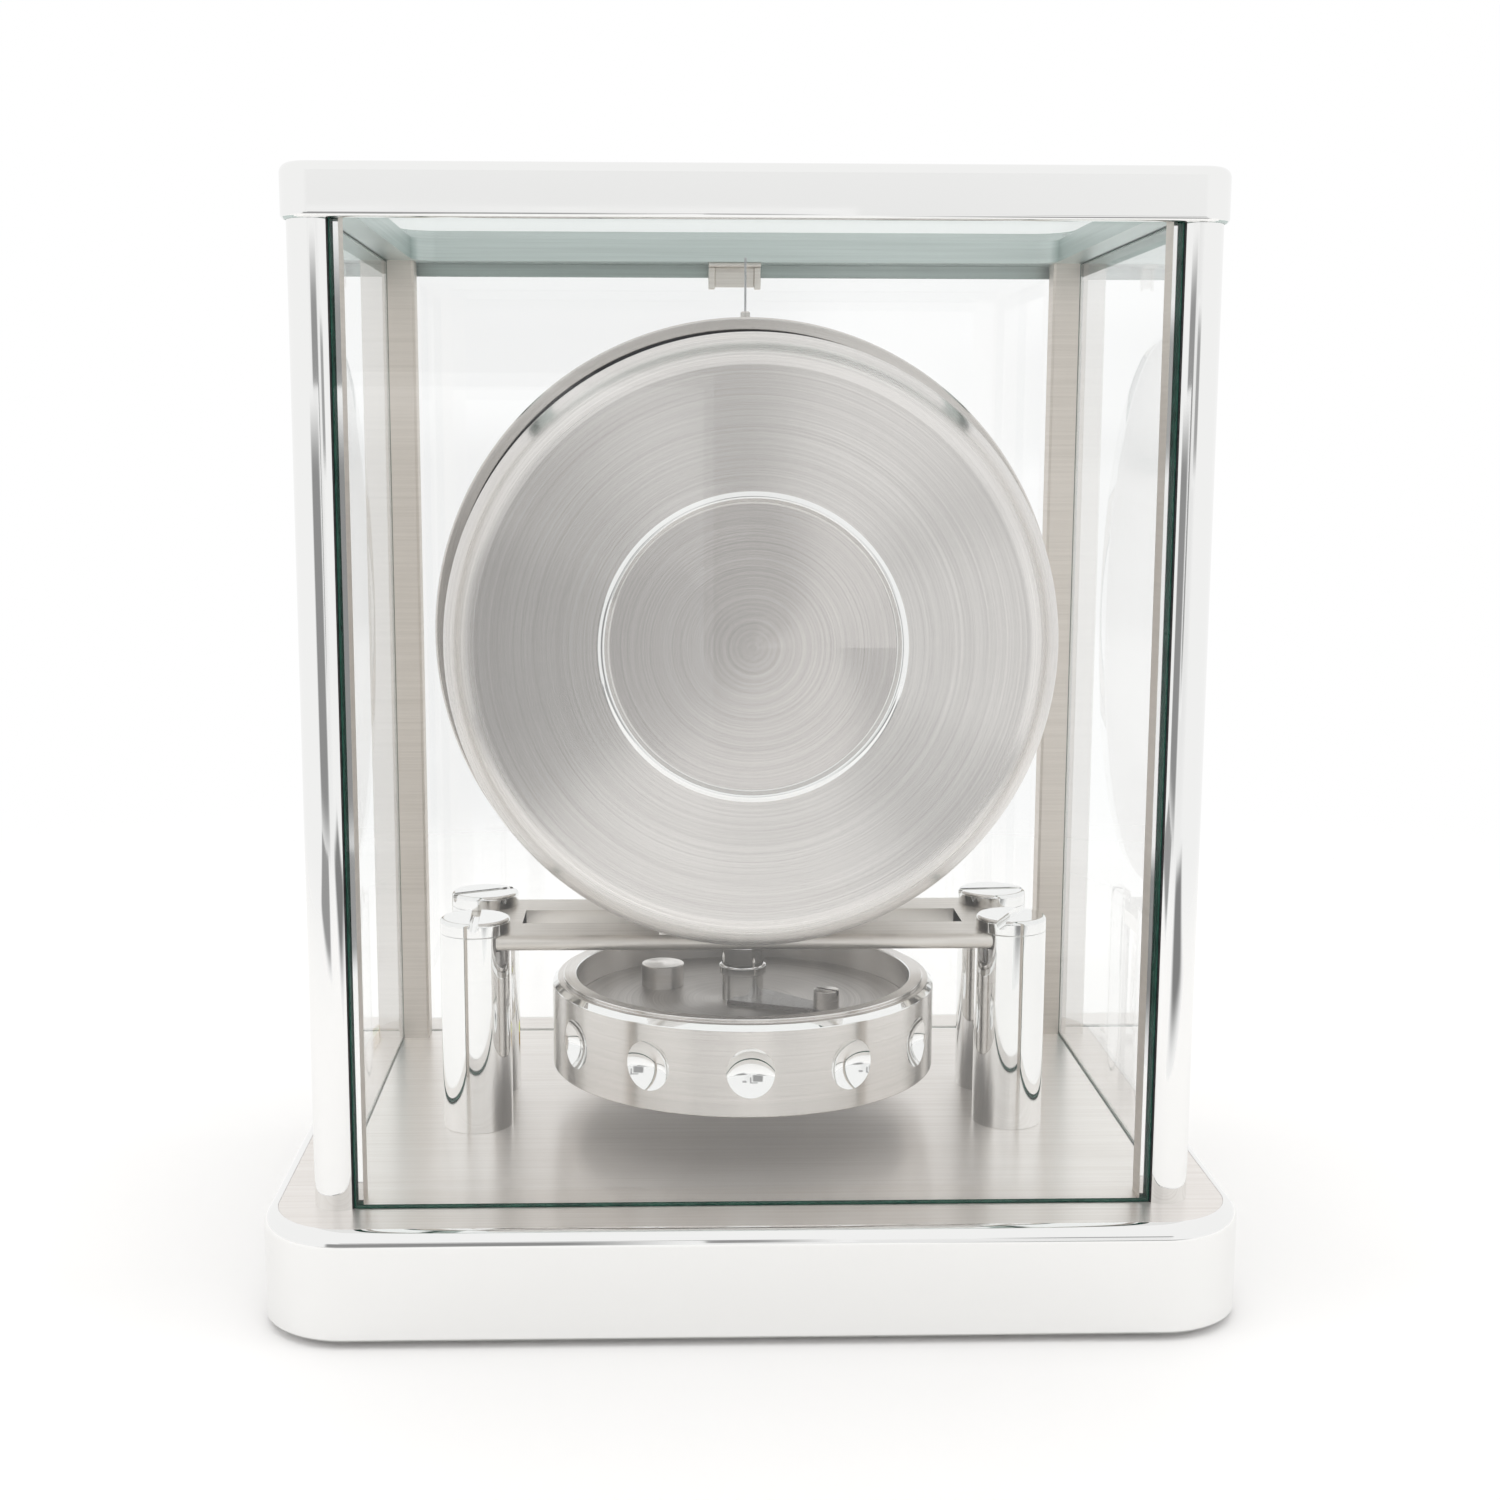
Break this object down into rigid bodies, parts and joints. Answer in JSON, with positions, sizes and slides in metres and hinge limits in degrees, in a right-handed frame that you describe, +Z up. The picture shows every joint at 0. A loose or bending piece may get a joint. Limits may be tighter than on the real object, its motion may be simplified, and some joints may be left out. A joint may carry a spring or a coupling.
{
  "type": "torsion clock",
  "caption": "Glazed mantel clock with a round movement on posts, a bellows drum behind the dial and a ring balance that twists on a fine wire.",
  "frame": {"origin": "on the table plane, under the middle of the base", "axes": "-Y is the way the dial faces, +Z is up, +X is to the right of someone looking at the dial"},
  "size_m": [0.208, 0.163, 0.2388],
  "materials": {
    "polished_nickel": "polished",
    "brushed_nickel": "brushed",
    "glass": "clear",
    "brass": "satin",
    "steel": "satin",
    "black_metal": "satin",
    "silvered_dial": "satin",
    "rubber": "matte"
  },
  "bodies": {
    "case": {"base_plinth": "polished_nickel", "deck_plate": "brushed_nickel", "bottom_cover": "black_metal", "base_screws": "steel", "rear_foot": "rubber", "column_front_left": "polished_nickel", "column_front_right": "polished_nickel", "column_rear_left": "polished_nickel", "column_rear_right": "polished_nickel", "top_frame": "polished_nickel", "top_glass": "glass", "rear_glass": "glass", "left_glass": "glass", "right_glass": "glass", "glass_catch": "brushed_nickel", "spirit_level": "brass", "post_front_left": "polished_nickel", "post_front_right": "polished_nickel", "post_rear_left": "polished_nickel", "post_rear_right": "polished_nickel", "post_caps": "polished_nickel", "bridge_plate": "brushed_nickel", "movement_saddles": "brushed_nickel", "movement_ring": "brushed_nickel", "front_plate": "brass", "back_plate": "brass", "plate_pillars": "brass", "drum_carrier": "black_metal", "barrel_arbor": "steel", "dial": "silvered_dial", "dial_bezel": "polished_nickel", "hour_markers": "black_metal", "top_chuck": "polished_nickel", "suspension_wire": "steel", "drum_can": "brushed_nickel", "drum_lid": "black_metal", "bellows": "brass", "bellows_spring": "steel"},
    "front_pane": {"front_glass": "glass"},
    "foot_left": {"levelling_foot_left": "steel"},
    "foot_right": {"levelling_foot_right": "steel"},
    "balance_lock": {"lock_lever": "brushed_nickel"},
    "balance": {"balance_ring": "brushed_nickel", "balance_floor": "brushed_nickel", "balance_hub": "brushed_nickel", "timing_arm": "brushed_nickel", "timing_pins": "polished_nickel"},
    "minute_train": {"centre_arbor": "steel", "centre_wheel": "brass", "cannon_pinion": "steel", "minute_hand": "black_metal", "hand_nut": "steel"},
    "hour_train": {"hour_wheel": "brass", "hour_hand": "black_metal"},
    "minute_wheel": {"minute_wheel": "brass"},
    "spring_barrel": {"barrel": "brass", "mainspring": "steel"},
    "escape_wheel": {"escape_wheel": "brass"},
    "pallet_lever": {"pallet_lever": "steel"},
    "pressure_plate": {"bellows_plate": "steel"}
  },
  "joints": [
    {"name": "front_pane_tip", "type": "hinge", "parent": "case", "child": "front_pane", "pos_m": [0, -0.066, 0.0249], "axis": [1, 0, 0], "range_deg": [0, 18]},
    {"name": "foot_left_turn", "type": "hinge", "parent": "case", "child": "foot_left", "pos_m": [-0.07, -0.058, 0.0015], "axis": [0, 0, 1], "continuous": true},
    {"name": "foot_right_turn", "type": "hinge", "parent": "case", "child": "foot_right", "pos_m": [0.07, -0.058, 0.0015], "axis": [0, 0, 1], "continuous": true},
    {"name": "balance_lock_swing", "type": "hinge", "parent": "case", "child": "balance_lock", "pos_m": [-0.03, -0.053, 0.0262], "axis": [0, 0, 1], "range_deg": [0, 20]},
    {"name": "balance_twist", "type": "hinge", "parent": "case", "child": "balance", "pos_m": [0, 0.00436, 0.049], "axis": [0, 0, 1], "range_deg": [-250, 250], "stiffness_Nm_per_rad": 0.000007},
    {"name": "minute_turn", "type": "hinge", "parent": "case", "child": "minute_train", "pos_m": [0, -0.03, 0.142], "axis": [0, 1, 0], "continuous": true},
    {"name": "hour_turn", "type": "hinge", "parent": "case", "child": "hour_train", "pos_m": [0, -0.038, 0.142], "axis": [0, 1, 0], "continuous": true},
    {"name": "minute_wheel_turn", "type": "hinge", "parent": "case", "child": "minute_wheel", "pos_m": [-0.01523, -0.033, 0.1349], "axis": [0, 1, 0], "continuous": true},
    {"name": "barrel_turn", "type": "hinge", "parent": "case", "child": "spring_barrel", "pos_m": [0.01909, -0.021, 0.16109], "axis": [0, 1, 0], "continuous": true},
    {"name": "escape_turn", "type": "hinge", "parent": "case", "child": "escape_wheel", "pos_m": [0, -0.019, 0.118], "axis": [0, 1, 0], "continuous": true},
    {"name": "pallet_rock", "type": "hinge", "parent": "case", "child": "pallet_lever", "pos_m": [0, -0.019, 0.099], "axis": [0, 1, 0], "range_deg": [-2, 2]},
    {"name": "bellows_breathe", "type": "slide", "parent": "case", "child": "pressure_plate", "axis": [0, 1, 0], "range_m": [-0.002, 0.002], "stiffness_N_per_m": 400, "deforming": ["bellows", "bellows_spring"]}
  ],
  "couplings": [
    {"joint": "hour_turn", "follows": "minute_turn", "ratio": 0.083333},
    {"joint": "minute_wheel_turn", "follows": "minute_turn", "ratio": -0.33333},
    {"joint": "barrel_turn", "follows": "minute_turn", "ratio": -0.25},
    {"joint": "escape_turn", "follows": "minute_turn", "ratio": -4}
  ]
}
